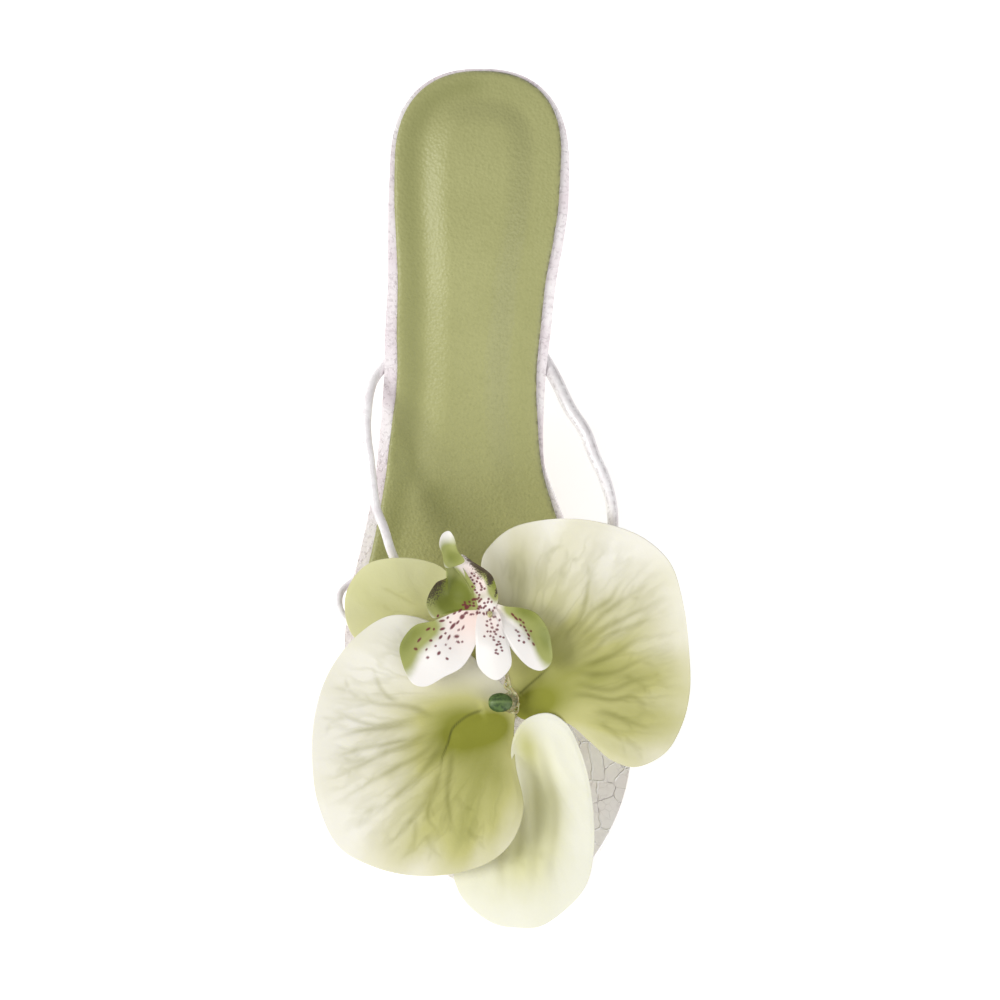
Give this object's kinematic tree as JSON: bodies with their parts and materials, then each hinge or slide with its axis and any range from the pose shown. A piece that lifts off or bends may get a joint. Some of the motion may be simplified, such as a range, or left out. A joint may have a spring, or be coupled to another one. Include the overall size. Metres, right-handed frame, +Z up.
{
  "type": "heeled toe post sandal",
  "caption": "Right heeled toe post sandal: wrapped footbed with a padded three-quarter sock, slim curved heel, thin cord straps and a large orchid on the toe post.",
  "frame": {"origin": "on the floor, in the middle of the heel tip's flat face", "axes": "+Z up, +Y from the toe to the heel, +X towards the big toe side"},
  "size_m": [0.1055, 0.2381, 0.0639],
  "materials": {
    "crackle_leather": "pearl white crackle",
    "strap_leather": "pearl white satin",
    "sole_leather": "matte",
    "green_leather": "satin",
    "heel_rubber": "matte",
    "petal_cloth": "soft matte, veined",
    "sepal_cloth": "soft matte, veined",
    "lip_cloth": "soft satin, spotted",
    "bud_plastic": "satin",
    "clear_glue": "cloudy gloss"
  },
  "bodies": {
    "root": {"outsole": "sole_leather", "insole_board": "crackle_leather", "sock": "green_leather", "heel": "crackle_leather", "top_piece": "heel_rubber", "upper_straps": "strap_leather", "flower_stalk": "clear_glue", "sepal_front": "sepal_cloth", "sepal_lateral": "sepal_cloth", "sepal_medial": "sepal_cloth", "petal_lateral": "petal_cloth", "petal_medial": "petal_cloth", "lip": "lip_cloth", "bud": "bud_plastic"}
  },
  "joints": []
}
